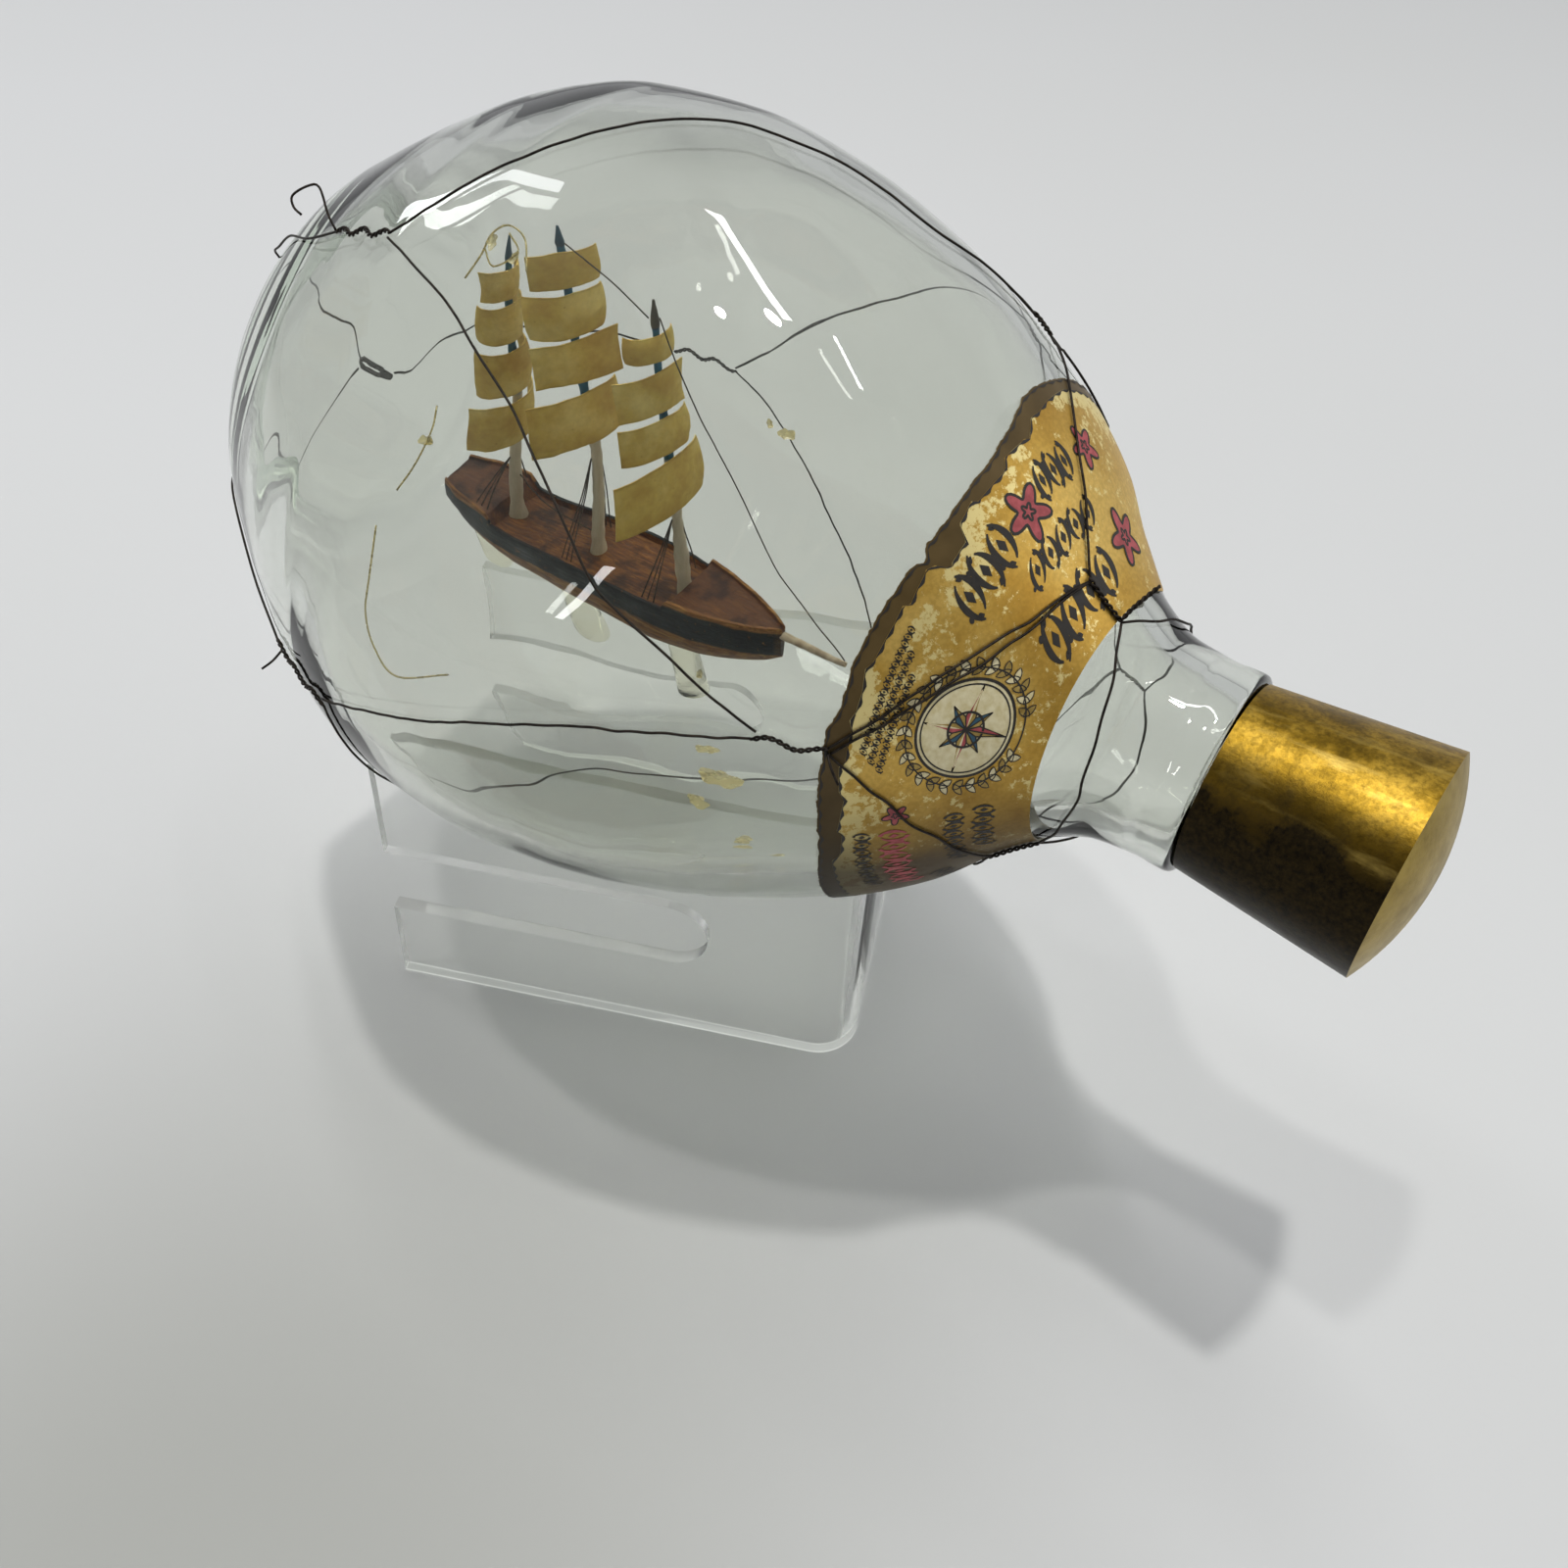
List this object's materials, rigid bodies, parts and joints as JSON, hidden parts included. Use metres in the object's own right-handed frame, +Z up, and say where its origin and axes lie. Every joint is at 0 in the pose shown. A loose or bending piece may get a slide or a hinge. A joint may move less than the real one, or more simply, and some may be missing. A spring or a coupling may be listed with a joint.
{
  "type": "ship in a bottle",
  "caption": "Model sailing ship inside a three-sided clear glass bottle with a wire net, gold label and screw cap, lying on a clear plastic stand.",
  "frame": {"origin": "middle of the whole object's footprint, on the table under the stand", "axes": "+X along the bottle's axis towards the cap, +Z up, the ship's bow towards +X and its port side towards +Y"},
  "size_m": [0.2143, 0.1262, 0.1806],
  "materials": {
    "clear_plastic": "clear polished sheet",
    "bottle_glass": "clear glass with a faint green tint",
    "aged_brass": "aged, mottled brass colour",
    "dark_plastic": "matt",
    "liner": "matt",
    "gold_paper": "metallic gold printed paper with a dark torn border",
    "dark_wire": "thin darkened wire",
    "hull_wood": "carved and varnished, painted band",
    "pale_wood": "pale stick, painted above",
    "sail_paper": "stiff yellowed paper",
    "thread": "fine thread",
    "glue": "clear yellowed glue"
  },
  "bodies": {
    "stand": {"display_stand": "clear_plastic"},
    "bottle": {"glass_bottle": "bottle_glass", "label": "gold_paper", "wire_neck_ring": "dark_wire", "wire_shoulder_strands": "dark_wire", "wire_belly_strands": "dark_wire", "wire_base_star": "dark_wire", "wire_base_knot": "dark_wire", "wire_ties": "dark_wire", "hull": "hull_wood", "bowsprit": "pale_wood", "mizzen_mast": "pale_wood", "main_mast": "pale_wood", "fore_mast": "pale_wood", "mizzen_royal": "sail_paper", "mizzen_topgallant": "sail_paper", "mizzen_topsail": "sail_paper", "mizzen_course": "sail_paper", "main_royal": "sail_paper", "main_topgallant": "sail_paper", "main_topsail": "sail_paper", "main_course": "sail_paper", "fore_royal": "sail_paper", "fore_topgallant": "sail_paper", "fore_topsail": "sail_paper", "fore_course": "sail_paper", "stay_threads": "thread", "shroud_threads": "thread", "glue_posts": "glue"},
    "liner": {"cap_liner": "liner"},
    "cap": {"brass_cap": "aged_brass", "cap_thread_sleeve": "dark_plastic"}
  },
  "joints": [
    {"name": "bottle_lift", "type": "slide", "parent": "stand", "child": "bottle", "axis": [0, 0, 1], "range_m": [0, 0.12]},
    {"name": "cap_rise", "type": "slide", "parent": "bottle", "child": "liner", "axis": [1, 0, 0], "range_m": [0, 0.00801]},
    {"name": "cap_turn", "type": "hinge", "parent": "liner", "child": "cap", "pos_m": [0.0899, 0.0025, 0.1147], "axis": [1, 0, 0], "range_deg": [0, 720]}
  ],
  "couplings": [
    {"joint": "cap_rise", "follows": "cap_turn", "m_per_rad": 0.00063662}
  ]
}
